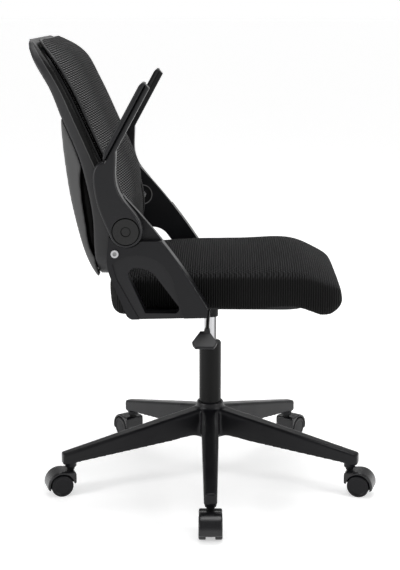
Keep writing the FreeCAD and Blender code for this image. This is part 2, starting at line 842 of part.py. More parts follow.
def bracket_outline(y):
    """The bracket seen from the side: convex front edge, round top behind the arm, slanted foot."""
    foot_z = pan_low_z - bracket_flange

    def foot(point):
        return V(point[0], y, foot_z + point[1])

    def crest(point):
        return V(pivot_x + point[0], y, pivot_z + point[1])
    return face([line(foot(foot_rear_at), foot(foot_front_at)),
                 line(foot(foot_front_at), foot(foot_nose_at)),
                 arc(foot(foot_nose_at), at(front_curve_at, y), crest(crest_front_at)),
                 arc(crest(crest_front_at), crest(crest_at), crest(crest_rear_at)),
                 line(crest(crest_rear_at), at(heel_at, y)),
                 arc(at(heel_at, y), at(heel_curve_at, y), at(heel_low_at, y)),
                 line(at(heel_low_at, y), foot(foot_heel_at)),
                 arc(foot(foot_heel_at), foot(foot_curve_at), foot(foot_rear_at))])


def arm_zone(y0, y1):
    """The room that the arm's eye and stalk sweep, above the thick part of the bracket."""
    keep = eye_radius + eye_gap
    disc = rod(keep, V(pivot_x, y0, pivot_z), V(pivot_x, y1, pivot_z))
    rear_x = pivot_x - arm_room_rear
    front_x = pivot_x + arm_room_front
    rear_z = pivot_z - arm_room_rear_share * keep
    front_z = pivot_z - arm_room_front_share * keep
    top_z = pivot_z + arm_room_height
    above = polygon([V(rear_x, y0, rear_z), V(pivot_x, y0, rear_z), V(pivot_x, y0, front_z),
                     V(front_x, y0, front_z), V(front_x, y0, top_z), V(rear_x, y0, top_z)])
    return disc.fuse(above.extrude(V(0, y1 - y0, 0)))


def bracket_window(y0, y1):
    """The arched window: slanted sides, round top and a straight sill."""
    sill_z = pan_low_z + sill_height
    sill_rear = V(sill_rear_x, y0, sill_z)
    sill_front = V(sill_front_x, y0, sill_z)
    edges = [line(sill_rear, sill_front), arc(sill_front, at(sill_curve_at, y0), at(window_nose_at, y0)),
             line(at(window_nose_at, y0), at(window_front_at, y0)),
             arc(at(window_front_at, y0), at(window_front_curve_at, y0), at(window_top_at, y0)),
             arc(at(window_top_at, y0), at(window_rear_curve_at, y0), at(window_rear_at, y0)),
             line(at(window_rear_at, y0), sill_rear)]
    return face(edges).extrude(V(0, y1 - y0, 0))


def bracket_recess_shape(y0, y1):
    """The shallow facet round the window, open towards the foot."""
    foot_z = pan_low_z - bracket_flange - 2
    foot_front = V(facet_foot_front_x, y0, foot_z)
    foot_rear = V(facet_foot_rear_x, y0, foot_z)
    edges = [arc(at(facet_rear_at, y0), at(facet_curve_at, y0), at(facet_front_at, y0)),
             line(at(facet_front_at, y0), foot_front), line(foot_front, foot_rear),
             line(foot_rear, at(facet_heel_at, y0)), line(at(facet_heel_at, y0), at(facet_rear_at, y0))]
    return face(edges).extrude(V(0, y1 - y0, 0))


def make_bracket():
    """The right bracket: thin plate inside the arm, thick lower part, flange under the pan."""
    inner = bracket_inner_y()
    plate_y = inner - bracket_plate
    outer = inner - bracket_thickness
    thick = bracket_outline(inner).extrude(V(0, -bracket_thickness, 0)).cut(arm_zone(plate_y, outer - 1))
    outer_edges = edges_where(thick, lies_on_y(outer))
    front_edge = max(outer_edges, key=lambda edge: edge.Length)
    thick = thick.makeFillet(bracket_round, [front_edge])
    recess = bracket_recess_shape(outer - 1, outer + bracket_recess)
    window = bracket_window(inner + 1, outer - 1)
    flange = box(V(flange_rear_x(), inner - 1, pan_low_z - bracket_flange),
                 V(flange_front_x, -bracket_flange_inner_y, pan_low_z))
    bracket = thick.cut(recess).cut(window).fuse(flange)
    tools = [rod(pin_radius, V(pivot_x, inner + 5, pivot_z), V(pivot_x, outer - 5, pivot_z)),
             rod(pin_well_radius, V(pivot_x, inner + 5, pivot_z),
                 V(pivot_x, inner - pin_head_height, pivot_z)),
             rod(back_bolt_radius, V(back_bolt_x, inner + 5, back_bolt_z),
                 V(back_bolt_x, outer - 5, back_bolt_z)),
             rod(back_bolt_radius, V(upper_bolt_x, inner + 5, upper_bolt_z),
                 V(upper_bolt_x, outer - 5, upper_bolt_z)),
             rod(upper_bolt_head_radius + seat_gap,
                 V(upper_bolt_x, plate_y + back_bolt_head_height, upper_bolt_z),
                 V(upper_bolt_x, outer - 5, upper_bolt_z))]
    for x, y in bracket_bolt_places():
        tools.append(rod(bolt_radius, V(x, y, pan_low_z - 2 * bracket_flange), V(x, y, pan_low_z + 1)))
    for tool in tools:
        bracket = bracket.cut(tool)
    return bracket.removeSplitter()


def back_bolt_seats():
    """Each back bolt on the right as (x, z, head face y, head radius)."""
    outer = bracket_inner_y() - bracket_thickness
    plate_y = bracket_inner_y() - bracket_plate
    return [(back_bolt_x, back_bolt_z, outer, back_bolt_head_radius),
            (upper_bolt_x, upper_bolt_z, plate_y + back_bolt_head_height, upper_bolt_head_radius)]


def make_back_bolt(x, z, head_y, head_radius):
    head = rod(head_radius, V(x, head_y - back_bolt_head_height, z), V(x, head_y, z))
    key = rod(back_bolt_radius, V(x, head_y - back_bolt_head_height, z),
              V(x, head_y - back_bolt_head_height / 2, z))
    shank = rod(back_bolt_radius, V(x, head_y, z), V(x, bracket_inner_y() + back_bolt_reach, z))
    return head.fuse(shank).cut(key)


def make_arm_pin():
    """The arm's pivot bolt: head in the well on the bracket's inner face."""
    seat = bracket_inner_y() - pin_head_height
    head = rod(pin_head_radius, V(pivot_x, bracket_inner_y(), pivot_z), V(pivot_x, seat, pivot_z))
    return head.fuse(rod(pin_radius, V(pivot_x, seat, pivot_z),
                         V(pivot_x, arm_outer_y() + cap_depth + 1, pivot_z)))


def bar_point(along, depth):
    """A point of the folded armrest bar: along it from beside the pivot, depth below its top."""
    lean = math.radians(arm_bar_lean)
    run = V(math.sin(lean), 0, math.cos(lean))
    rise = V(-math.cos(lean), 0, math.sin(lean))
    return V(pivot_x, 0, pivot_z) + run * along + rise * (arm_bar_offset - depth)


def arm_profile(y):
    """The arm seen from the side: eye, bent stalk and bar."""
    shift = V(0, y, 0)
    tip_top = bar_point(arm_tip_reach + 4, arm_pad_thickness) + shift
    tip_low = bar_point(arm_tip_reach, arm_bar_thickness) + shift
    top_root = bar_point(arm_tip_reach - arm_pad_length, arm_pad_thickness) + shift
    low_root = bar_point(arm_tip_reach - arm_pad_length + 30, arm_bar_thickness) + shift
    centre = V(pivot_x, y, pivot_z)
    eye_rear = centre + V(-eye_radius * 0.97, 0, -eye_radius * 0.24)
    eye_low = centre + V(0, 0, -eye_radius)
    eye_front = centre + V(eye_radius * 0.97, 0, eye_radius * 0.24)
    elbow_up = bar_point(arm_tip_reach - arm_pad_length, 0) + shift + V(-4, 0, -9)
    rear_bend = [centre + V(x, 0, z) for x, z in stalk_rear]
    front_bend = [centre + V(x, 0, z) for x, z in stalk_front]
    rear = spline([eye_rear] + rear_bend + [elbow_up, top_root])
    front = spline([eye_front] + front_bend + [low_root])
    return face([arc(eye_rear, eye_low, eye_front), front, line(low_root, tip_low), line(tip_low, tip_top),
                 line(tip_top, top_root), rear])


def make_armrest():
    outer = arm_outer_y()
    inner = arm_inner_y()
    arm = arm_profile(inner).extrude(V(0, outer - inner, 0))
    arm = arm.makeFillet(arm_round, edges_where(arm, lies_on_y(outer)))
    arm = arm.cut(rod(pin_radius + running_gap, V(pivot_x, inner + 1, pivot_z),
                      V(pivot_x, outer - 1, pivot_z)))
    return arm.cut(rod(cap_radius + soft_gap, V(pivot_x, outer + cap_depth, pivot_z),
                       V(pivot_x, outer - 1, pivot_z)))


def make_arm_pad():
    """The soft top of the armrest, rounded all along and a little wider than the bar."""
    middle = (arm_inner_y() + arm_outer_y()) / 2
    start = arm_tip_reach - arm_pad_length + 4
    end = arm_tip_reach + 6
    base = arm_pad_thickness - soft_gap
    points = [bar_point(start, base), bar_point(end, base), bar_point(end - 1, 3), bar_point(end - 10, 0),
              bar_point(start + 16, 0), bar_point(start, 5)]
    blank = polygon(points)
    blank.translate(V(0, middle - arm_pad_width / 2, 0))
    pad = blank.extrude(V(0, arm_pad_width, 0))
    ends = (middle - arm_pad_width / 2, middle + arm_pad_width / 2)
    rims = [e for y in ends for e in edges_where(pad, lies_on_y(y))]
    return pad.makeFillet(arm_pad_round, rims)


def make_pivot_cap():
    outer = arm_outer_y()
    disc = rod(cap_radius, V(pivot_x, outer + cap_depth, pivot_z), V(pivot_x, outer - cap_proud, pivot_z))
    disc = disc.makeFillet(cap_round, edges_where(disc, lies_on_y(outer - cap_proud)))
    eye = rod(cap_eye_radius, V(pivot_x, outer - cap_proud + 1, pivot_z),
              V(pivot_x, outer - cap_proud - 1, pivot_z))
    return disc.cut(eye)


# Casters, each along +X from the column before it is turned to its leg

def make_caster_hood():
    """A hood over both wheels, with a middle web for the axle and the stem."""
    centre_x = caster_radius + caster_trail
    half = caster_width / 2
    lip = math.radians(hood_lip_angle)
    inner_x = caster_radius - hood_inner_reach

    def rim(angle, radius):
        return V(centre_x + radius * math.cos(angle), -half, wheel_radius + radius * math.sin(angle))
    top_angle = math.asin((hood_top_z - wheel_radius) / hood_radius)
    shoulder = rim(math.pi - top_angle, hood_radius)
    edges = [line(V(inner_x, -half, hood_inner_low_z), V(inner_x, -half, hood_top_z - 4)),
             line(V(inner_x, -half, hood_top_z - 4), V(inner_x + 4, -half, hood_top_z)),
             line(V(inner_x + 4, -half, hood_top_z), shoulder),
             arc(shoulder, rim(math.pi / 4, hood_radius), rim(lip, hood_radius)),
             line(rim(lip, hood_radius), rim(lip - 0.45, wheel_radius - 2)),
             line(rim(lip - 0.45, wheel_radius - 2), V(inner_x, -half, hood_inner_low_z))]
    hood = face(edges).extrude(V(0, caster_width, 0))
    room = wheel_radius + hood_wall_gap
    web_half = half - wheel_width + wheel_dish - web_gap
    for side in (-1, 1):
        face_y = side * web_half
        well = rod(room, V(centre_x, face_y, wheel_radius), V(centre_x, side * (half + 1), wheel_radius))
        front_room = box(V(inner_x + hood_inner_wall, min(face_y, side * (half + 1)), 0),
                         V(centre_x, max(face_y, side * (half + 1)), wheel_radius))
        hood = hood.cut(well).cut(front_room)
    axle = rod(axle_radius, V(centre_x, -half, wheel_radius), V(centre_x, half, wheel_radius))
    stem = rod(stem_radius, V(caster_radius, 0, hood_top_z - stem_sink),
               V(caster_radius, 0, hood_top_z + 1))
    return hood.cut(axle).cut(stem)


def make_caster_stem():
    """The pin that stands in the hood and turns in the leg's socket, with a collar."""
    low = V(caster_radius, 0, hood_top_z - stem_sink)
    collar_top = V(caster_radius, 0, boss_low_z - running_gap)
    stem = rod(stem_radius, low, V(caster_radius, 0, boss_low_z + stem_height))
    return stem.fuse(rod(stem_radius + 3, V(caster_radius, 0, hood_top_z), collar_top))


def make_caster_axle():
    half = caster_width / 2 - 5
    centre_x = caster_radius + caster_trail
    return rod(axle_radius, V(centre_x, -half, wheel_radius), V(centre_x, half, wheel_radius))


def make_wheel(side):
    """One wheel, dished on its outer face, on the side given as -1 or 1."""
    half = caster_width / 2
    inner = half - wheel_width + wheel_dish
    hub_end = half - 5 + running_gap
    bore = axle_radius + running_gap
    profile = [(bore, inner), (wheel_radius - 1, inner), (wheel_radius, inner + 1),
               (wheel_radius, half - wheel_round),
               (wheel_radius - 0.3 * wheel_round, half - 0.3 * wheel_round),
               (wheel_radius - wheel_round, half), (wheel_radius - 2 * wheel_round, half),
               (wheel_radius - 2.5 * wheel_round, half - wheel_dish), (0, half - 0.4 * wheel_dish),
               (0, hub_end), (bore, hub_end)]
    wheel = lathe(profile)
    wheel = wheel.rotate(V(0, 0, 0), X_AXIS, -90 * side)
    wheel.translate(V(caster_radius + caster_trail, 0, wheel_radius))
    return wheel


# Every node of the chair

export("base_star", make_base())
export("column_tube", make_column_tube())
export("column_bush", make_column_bush())
export("thrust_bearing", make_thrust_bearing())
export("piston_rod", make_piston_rod())
export("retaining_clip", make_retaining_clip())
export("pressure_tube", make_pressure_tube())
export("valve_button", make_valve_button())
export("lever_rod", make_lever_rod())
export("lever_pin", make_lever_pin())
export("lever_paddle", make_lever_paddle())
export("seat_plate", make_seat_plate())
export("plate_bolts", *[make_bolt(x, y, pan_low_z - plate_thickness) for x, y in plate_bolt_places()])
export("seat_pan", make_seat_pan())
export("seat_cushion", make_seat_cushion())

bracket_bolts = [make_bolt(x, y, pan_low_z - bracket_flange) for x, y in bracket_bolt_places()]
back_bolts = [make_back_bolt(*seat) for seat in back_bolt_seats()]
frame = make_back_frame()
yoke = make_back_yoke()
board = make_back_board()
yoke_screws = [make_screw(yoke_rear(z) + screw_head_height, y, z, screw_length)
               for y, z in yoke_screw_places()]
lip_y = -(frame_half_width - frame_rail - frame_lip / 2)
board_screws = [make_screw(frame_front(z) - frame_lip_depth, lip_y, z,
                           frame_lip_depth + board_thickness * screw_bite)
                for z in steps(frame_low_z + 2 * frame_foot_corner, frame_top_z - 2 * frame_top_corner, 4)]
for tool in back_bolts + yoke_screws + board_screws:
    for side_tool in (tool, mirrored(tool)):
        frame = frame.cut(side_tool)
        yoke = yoke.cut(side_tool)
        board = board.cut(side_tool)
export("back_frame", frame)
export("back_yoke", yoke)
export("back_board", board)
export("back_pad", make_back_pad())
for name, group in (("bracket_bolts", bracket_bolts), ("back_bolts", back_bolts),
                    ("yoke_screws", yoke_screws), ("board_screws", board_screws),
                    ("arm_pivot_pins", [make_arm_pin()])):
    export(name, *(group + [mirrored(solid) for solid in group]))

for name, solid in (("bracket", make_bracket()), ("armrest", make_armrest()), ("arm_pad", make_arm_pad()),
                    ("pivot_cap", make_pivot_cap())):
    export(name + "_right", solid)
    export(name + "_left", mirrored(solid))

for k in range(leg_count):
    turn = leg_angle(k)
    pieces = {"caster_hood": make_caster_hood(), "caster_stem": make_caster_stem(),
              "caster_axle": make_caster_axle()}
    for name, solid in pieces.items():
        export("%s_%d" % (name, k + 1), solid.rotate(V(0, 0, 0), Z_AXIS, turn))
    for letter, side in (("a", -1), ("b", 1)):
        export("caster_wheel_%d%s" % (k + 1, letter), make_wheel(side).rotate(V(0, 0, 0), Z_AXIS, turn))
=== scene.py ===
import bmesh
import bpy
import json
import math
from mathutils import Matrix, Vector
from mathutils.bvhtree import BVHTree
from mathutils.kdtree import KDTree


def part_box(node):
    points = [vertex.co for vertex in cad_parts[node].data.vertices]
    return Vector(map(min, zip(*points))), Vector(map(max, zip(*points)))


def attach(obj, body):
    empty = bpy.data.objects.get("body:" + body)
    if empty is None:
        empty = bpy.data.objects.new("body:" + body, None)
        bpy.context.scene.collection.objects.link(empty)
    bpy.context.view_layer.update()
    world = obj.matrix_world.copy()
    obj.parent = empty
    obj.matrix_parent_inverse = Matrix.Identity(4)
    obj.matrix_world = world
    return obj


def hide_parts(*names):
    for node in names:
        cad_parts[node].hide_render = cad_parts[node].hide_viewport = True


# Looks for the task chair: soft seat and back, moulded plastics, plated tube, white studio.
# Everything is in metres, in the part's own frame.

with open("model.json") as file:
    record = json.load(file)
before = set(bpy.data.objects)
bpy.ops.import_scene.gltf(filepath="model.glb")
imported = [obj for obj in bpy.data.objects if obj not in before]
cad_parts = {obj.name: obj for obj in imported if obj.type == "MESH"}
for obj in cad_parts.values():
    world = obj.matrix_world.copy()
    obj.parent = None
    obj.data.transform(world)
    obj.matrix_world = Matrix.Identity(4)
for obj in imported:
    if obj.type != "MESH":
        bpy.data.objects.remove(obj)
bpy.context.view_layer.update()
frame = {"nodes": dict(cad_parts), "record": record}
nodes = frame["nodes"]
scene = bpy.context.scene
sides = ("right", "left")
casters = range(1, 6)

# Camera, fitted to the photograph
camera_place = Vector((0.0376, -2.7699, 1.0863))
camera_aim = Vector((-0.02145, 0.97507, -0.22086))
camera_lens = 79.06
camera_sensor = 36.0
camera_far = 100.0

# Skins of the soft pieces
skin_voxel = 0.005
pad_voxel = 0.0022
pad_relax = 6
cover_relax = 10
relax_factor = 0.5

# Stuffed cloth
cloth_voxel = 0.010
cloth_pressure = 4.0
cloth_stiffness = 20.0
cloth_bending = 0.6
cloth_mass = 0.3
cloth_frames = 16
cloth_neighbours = 6
cloth_blend = 0.1 * cloth_voxel
seat_shrink = 0.0015
seat_cap = 0.0050
seat_hold = 0.021
back_shrink = 0.0012
back_cap = 0.0032
back_hold = 0.013

# Fuller and slacker heights of the back cover: height, spread and amount
back_fullness = ((0.984, 0.036, 0.0125), (0.635, 0.065, -0.0150))
back_flatness = 4

# Trim round the back pad
trim_radius = 0.0026
trim_roundness = 3
trim_inset = 0.0016
trim_corner = 0.080
trim_points = 60
trim_corner_points = 20
trim_ray = 0.1

# Rolled-over pieces: voxel size and rounds of relaxing
star_voxel = 0.0025
star_rounds = 4
hoop_voxel = 0.0028
hoop_rounds = 6
yoke_voxel = 0.0028
yoke_rounds = 4
hood_voxel = 0.0013
hood_rounds = 40

# Pieces with rounded edges: width of the rounding
bracket_edge = 0.0022
armrest_edge = 0.0018
cap_edge = 0.0012
wheel_edge = 0.0010
edge_segments = 2

# Angles between faces, and the smallest length that counts
flat_angle = math.radians(1.0)
sharp_angle = math.radians(28.0)
edged_crease = math.radians(32.0)
rolled_crease = math.radians(60.0)
no_crease = math.radians(180.0)
smallest_length = 1e-6

# Regions of the moulded pieces
hoop_step = 0.005
# Facet round the bracket's window, which is painted lighter as painted light
facet_low_y = 0.2590
facet_high_y = 0.2612
facet_facing = 0.9
root_rim = 0.034
root_reach = 0.095
root_fade = 0.020
root_rounds = 30

# Noise patterns are used between these values
noise_low = 0.3
noise_high = 0.7

# Moulded plastic
grain_pitch = 0.0011
grain_detail = 2.0
grain_depth = 0.00012
cloud_pitch = 0.05
cloud_detail = 3.0
cloud_depth = 0.14
plastic_tint = 0.001
plastic_gloss = 0.27
plastic_swing = 0.05
# Roughness of the plastics that are painted lit and shaded
lit_and_shaded_roughness = 0.41
lit_and_shaded_swing = 0.04

# Rings round the arm's pivot: painted shade in the grooves on the cap and a painted highlight on the boss of
# the bracket
pivot_x = -0.168
pivot_z = 0.631
cap_level = 0.009
cap_roughness = 0.36
cap_grooves = (0.0095, 0.0272)
# Painted shade in the cap's grooves
groove_core = 0.0004
groove_edge = 0.0010
groove_shade_level = 0.0005
groove_shade_gloss = 0.03
bracket_level = 0.004
bracket_roughness = 0.36
bracket_gloss = 0.24
# Painted highlight on the rim of the bracket's boss
boss_radius = 0.0232
boss_core = 0.0006
boss_edge = 0.0018
boss_highlight_level = 0.180

# Powder coat
peel_pitch = 0.0035
peel_detail = 1.0
peel_depth = 0.00008
paint_pitch = 0.04
paint_detail = 2.0
paint_depth = 0.1
paint_swing = 0.04

# Plating
plate_pitch = 0.004
plate_detail = 3.0
plate_dim = 0.94
plate_tint = 0.01
plate_swing = 0.3
bolt_x = -0.192
bolt_z = 0.583
# Painted shade in the key recess of the bolt heads
bolt_key = 0.0042
bolt_key_blend = 0.0008
bolt_key_shade_level = 0.22
bolt_head_level = 0.46
bolt_roughness = 0.29
bolt_swing = 0.07
# Painted reflections on the plated tube: dark streaks where the surface faces these ways
tube_reflection_turns = (-0.42, 0.85)
reflection_core = 0.05
reflection_edge = 0.28
tube_dark_reflection_level = 0.10
tube_bright_level = 0.47
tube_roughness = 0.15
tube_swing = 0.04

# Both cloths
lint_pitch = 0.0016
lint_detail = 3.0
lint_share = 0.5
cloth_tint = 0.001
cloth_sheen = 0.02

# Seat cloth
seat_rib_pitch = 0.0049
seat_cell_pitch = 0.0052
seat_tie_share = 0.55
seat_crease_z = 0.522
seat_crease_blend = 0.005
seat_top_low = 0.42
seat_top_high = 0.62
seat_endways = 0.2
# Painted light: lit top and upper sides, shaded lower sides
seat_shaded_side_level = 0.010
seat_lit_top_level = 0.029
seat_gap_level = 0.001
seat_thread_low = -0.7
seat_thread_high = 1.5

# Back cloth
back_row_pitch = 0.0050
back_row_slope = -0.45
back_stitch_pitch = 0.0100
back_loop_share = 0.75
# Painted light towards both sides of the mesh, and painted shade on its faces that look sideways
back_edge_start = 0.10
back_edge_end = 0.19
back_shade_start = 0.80
back_shade_end = 0.90
back_middle_level = 0.037
back_lit_edge_level = 0.150
back_gap_and_shade_level = 0.002
back_thread_low = -0.3
back_thread_high = 1.9

# Studio
white = (1, 1, 1, 1)
floor_half = 80.0
floor_level = 0.80
floor_lift = 1.02
floor_pitch = 2.0
floor_detail = 1.0
floor_glow = 0.48
far_floor_glow = 0.67
glow_near = 0.8
glow_far = 3.5
sky_level = 0.35
sky_low = 0.04
sky_high = 0.30


# Node trees

def new_material(name):
    """An empty node material with its shader, returned with its tree."""
    material = bpy.data.materials.new(name)
    material.use_nodes = True
    tree = material.node_tree
    tree.nodes.clear()
    output = tree.nodes.new("ShaderNodeOutputMaterial")
    shader = tree.nodes.new("ShaderNodeBsdfPrincipled")
    tree.links.new(shader.outputs["BSDF"], output.inputs["Surface"])
    return material, tree, shader


def feed(tree, socket, value):
    """Links a socket, or sets it when the value is a plain number or tuple."""
    if isinstance(value, bpy.types.NodeSocket):
        tree.links.new(value, socket)
    else:
        socket.default_value = value


def feed_all(tree, shader, values):
    """Feeds the shader's inputs by their names."""
    for name, value in values.items():
        feed(tree, shader.inputs[name], value)


def math_node(tree, operation, first, second=0.0, third=0.0):
    node = tree.nodes.new("ShaderNodeMath")
    node.operation = operation
    for socket, value in zip(node.inputs, (first, second, third)):
        feed(tree, socket, value)
    return node.outputs[0]


def place(tree):
    """The surface point at rest, in metres, or in the world's tree the direction looked in."""
    return tree.nodes.new("ShaderNodeTexCoord").outputs["Object"]


def split_axes(tree, vector):
    """The X, Y and Z of a vector."""
    split = tree.nodes.new("ShaderNodeSeparateXYZ")
    tree.links.new(vector, split.inputs[0])
    return split.outputs


def facing(tree):
    """The X, Y and Z of the direction that the surface faces."""
    return split_axes(tree, tree.nodes.new("ShaderNodeNewGeometry").outputs["Normal"])


def noise(tree, vector, pitch, detail):
    node = tree.nodes.new("ShaderNodeTexNoise")
    node.inputs["Scale"].default_value = 1.0 / pitch
    node.inputs["Detail"].default_value = detail
    tree.links.new(vector, node.inputs["Vector"])
    return node.outputs["Fac"]


def stretch(tree, value, low, high, new_low, new_high):
    """Maps low to high onto new_low to new_high, and stops at both ends."""
    node = tree.nodes.new("ShaderNodeMapRange")
    for socket, number in zip(node.inputs, (value, low, high, new_low, new_high)):
        feed(tree, socket, number)
    return node.outputs[0]


def uneven(tree, pattern, middle, swing):
    """A value that wanders round its middle with a noise pattern."""
    return stretch(tree, pattern, noise_low, noise_high, middle - swing, middle + swing)


def band(tree, value, middle, inner, outer, inside=1.0, outside=0.0):
    """One level close to the middle value and another away from it on both sides."""
    off = math_node(tree, "ABSOLUTE", math_node(tree, "SUBTRACT", value, middle))
    return stretch(tree, off, inner, outer, inside, outside)


def distance(tree, first, second):
    """The length of a vector with two parts."""
    squares = math_node(tree, "MULTIPLY_ADD", first, first, math_node(tree, "MULTIPLY", second, second))
    return math_node(tree, "SQRT", squares)


def reach_from(tree, vector, centre_x, centre_z):
    """Distance of the surface point from an axis that runs across the chair."""
    x, _, z = split_axes(tree, vector)
    along = math_node(tree, "SUBTRACT", x, centre_x)
    above = math_node(tree, "SUBTRACT", z, centre_z)
    return distance(tree, along, above)


def wave(tree, value, pitch):
    """A sine along one coordinate, from -1 to 1."""
    return math_node(tree, "SINE", math_node(tree, "MULTIPLY", value, 2 * math.pi / pitch))


def mix_colour(tree, factor, first, second):
    node = tree.nodes.new("ShaderNodeMix")
    node.data_type = "RGBA"
    feed(tree, node.inputs["Factor"], factor)
    for socket, colour in zip([s for s in node.inputs if s.type == "RGBA"], (first, second)):
        feed(tree, socket, colour)
    return [s for s in node.outputs if s.type == "RGBA"][0]


def bump(tree, height, depth):
    """The surface's direction, bent by a pattern of heights."""
    node = tree.nodes.new("ShaderNodeBump")
    node.inputs["Strength"].default_value = 1.0
    node.inputs["Distance"].default_value = depth
    tree.links.new(height, node.inputs["Height"])
    return node.outputs["Normal"]


def grey(level, tint=0.0):
    return (level, level, level + tint, 1.0)


# Materials

def cloud_over(tree, vector):
    """Broad soft patches, in which the gloss of a moulded piece varies."""
    return noise(tree, vector, cloud_pitch, cloud_detail)


def cloudy_grey(tree, cloud, level):
    dim = grey(level * (1 - cloud_depth), plastic_tint)
    bright = grey(level * (1 + cloud_depth), plastic_tint)
    return mix_colour(tree, cloud, dim, bright)


def grain(tree, vector):
    """The fine grain of a moulded surface."""
    return bump(tree, noise(tree, vector, grain_pitch, grain_detail), grain_depth)


def moulded_plastic(name, level, roughness, gloss=plastic_gloss):
    """Satin plastic with a fine moulded grain and faint uneven gloss."""
    material, tree, shader = new_material(name)
    vector = place(tree)
    cloud = cloud_over(tree, vector)
    feed_all(tree, shader, {
        "Base Color": cloudy_grey(tree, cloud, level),
        "Specular IOR Level": gloss,
        "Roughness": uneven(tree, cloud, roughness, plastic_swing),
        "Normal": grain(tree, vector),
    })
    return material


def lit_and_shaded_plastic(name, measure, low, high, first, second, ridge_highlight):
    """Satin plastic with painted light: it passes from the first (level, gloss), painted in shade, to the
    second, painted lit, with a painted highlight along the ridge where they meet.
    """
    shaded_level, shaded_gloss = first
    lit_level, lit_gloss = second
    material, tree, shader = new_material(name)
    vector = place(tree)
    spot = measure(tree)
    lit_share = stretch(tree, spot, low, high, 0.0, 1.0)
    on_ridge_highlight = band(tree, spot, high, 0.0, high - low)
    # Painted light: shaded and lit levels of one plastic, and a painted highlight on the ridge between them
    colour = mix_colour(tree, lit_share, grey(shaded_level), grey(lit_level, plastic_tint))
    feed_all(tree, shader, {
        "Base Color": mix_colour(tree, on_ridge_highlight, colour, grey(ridge_highlight)),
        "Specular IOR Level": stretch(tree, lit_share, 0.0, 1.0, shaded_gloss, lit_gloss),
        "Roughness": uneven(tree, cloud_over(tree, vector), lit_and_shaded_roughness, lit_and_shaded_swing),
        "Normal": grain(tree, vector),
    })
    return material


def distance_aside(tree):
    """How far a point lies from the middle of the chair."""
    return math_node(tree, "ABSOLUTE", split_axes(tree, place(tree))[1])


def hoop_share(tree):
    """How far behind the hoop's front a point lies, as a share of the hoop's depth."""
    node = tree.nodes.new("ShaderNodeAttribute")
    node.attribute_name = "hoop_share"
    return node.outputs["Fac"]


def cap_plastic():
    """Satin plastic with painted shade: a dark ring in the groove round the cap's eye and another along its
    rim.
    """
    material, tree, shader = new_material("cap_plastic")
    vector = place(tree)
    reach = reach_from(tree, vector, pivot_x, pivot_z)
    # Painted shade: dark rings at the grooves' radii
    groove_shade = 0.0
    for radius in cap_grooves:
        groove_shade = math_node(tree, "MAXIMUM", groove_shade, band(tree, reach, radius, groove_core, groove_edge))
    feed_all(tree, shader, {
        "Base Color": mix_colour(tree, groove_shade, grey(cap_level), grey(groove_shade_level)),
        "Specular IOR Level": stretch(tree, groove_shade, 0.0, 1.0, plastic_gloss, groove_shade_gloss),
        "Roughness": cap_roughness,
        "Normal": grain(tree, vector),
    })
    return material


def boss_highlight_plastic():
    """Satin plastic with a painted highlight: a pale ring on the rim of the boss that the arm turns on."""
    material, tree, shader = new_material("bracket_plastic")
    vector = place(tree)
    # Painted highlight: a pale ring round the pivot
    rim = band(tree, reach_from(tree, vector, pivot_x, pivot_z), boss_radius, boss_core, boss_edge)
    cloud = cloud_over(tree, vector)
    plain = cloudy_grey(tree, cloud, bracket_level)
    feed_all(tree, shader, {
        "Base Color": mix_colour(tree, rim, plain, grey(boss_highlight_level)),
        "Specular IOR Level": bracket_gloss,
        "Roughness": uneven(tree, cloud, bracket_roughness, plastic_swing),
        "Normal": grain(tree, vector),
    })
    return material


def painted_steel(name, level, roughness, gloss):
    """Powder coat: a soft orange-peel over steel."""
    material, tree, shader = new_material(name)
    vector = place(tree)
    peel = noise(tree, vector, peel_pitch, peel_detail)
    cloud = noise(tree, vector, paint_pitch, paint_detail)
    dim = grey(level * (1 - paint_depth))
    bright = grey(level * (1 + paint_depth))
    feed_all(tree, shader, {
        "Base Color": mix_colour(tree, cloud, dim, bright),
        "Specular IOR Level": gloss,
        "Roughness": uneven(tree, peel, roughness, paint_swing),
        "Normal": bump(tree, peel, peel_depth),
    })
    return material


def plated_metal(name, level, roughness):
    """Bright plating with faint drawn streaks."""
    material, tree, shader = new_material(name)
    streak = noise(tree, place(tree), plate_pitch, plate_detail)
    feed_all(tree, shader, {
        "Base Color": mix_colour(tree, streak, grey(level * plate_dim, plate_tint), grey(level, plate_tint)),
        "Roughness": uneven(tree, streak, roughness, roughness * plate_swing),
        "Metallic": 1.0,
    })
    return material


def bolt_plating():
    """Bright zinc with painted shade: a darker disc in the middle of each head for its key recess."""
    material, tree, shader = new_material("back_bolt_steel")
    vector = place(tree)
    reach = reach_from(tree, vector, bolt_x, bolt_z)
    # Painted shade: darker within the key recess
    rim = stretch(tree, reach, bolt_key - bolt_key_blend, bolt_key + bolt_key_blend, 0.0, 1.0)
    streak = noise(tree, vector, plate_pitch, plate_detail)
    feed_all(tree, shader, {
        "Base Color": mix_colour(tree, rim, grey(bolt_key_shade_level), grey(bolt_head_level, plate_tint)),
        "Roughness": uneven(tree, streak, bolt_roughness, bolt_swing),
        "Metallic": 1.0,
    })
    return material


def chromed_tube():
    """Bright plating with painted reflections: long dark streaks, set by which way the surface faces, stand
    in for what the tube reflects from round it.
    """
    material, tree, shader = new_material("tube_chrome")
    streak = noise(tree, place(tree), plate_pitch, plate_detail)
    # Painted reflection: darker where the surface faces the listed ways
    facing_x = facing(tree)[0]
    painted_lighting = 1.0
    for turn in tube_reflection_turns:
        clear = band(tree, facing_x, turn, reflection_core, reflection_edge, inside=0.0, outside=1.0)
        painted_lighting = math_node(tree, "MULTIPLY", painted_lighting, clear)
    feed_all(tree, shader, {
        "Base Color": mix_colour(tree, painted_lighting, grey(tube_dark_reflection_level), grey(tube_bright_level, plate_tint)),
        "Roughness": uneven(tree, streak, tube_roughness, tube_swing),
        "Metallic": 1.0,
    })
    return material


def linted(tree, vector, weave):
    """The heights of a weave with lint on its threads."""
    lint = noise(tree, vector, lint_pitch, lint_detail)
    return math_node(tree, "MULTIPLY_ADD", lint, lint_share, weave)


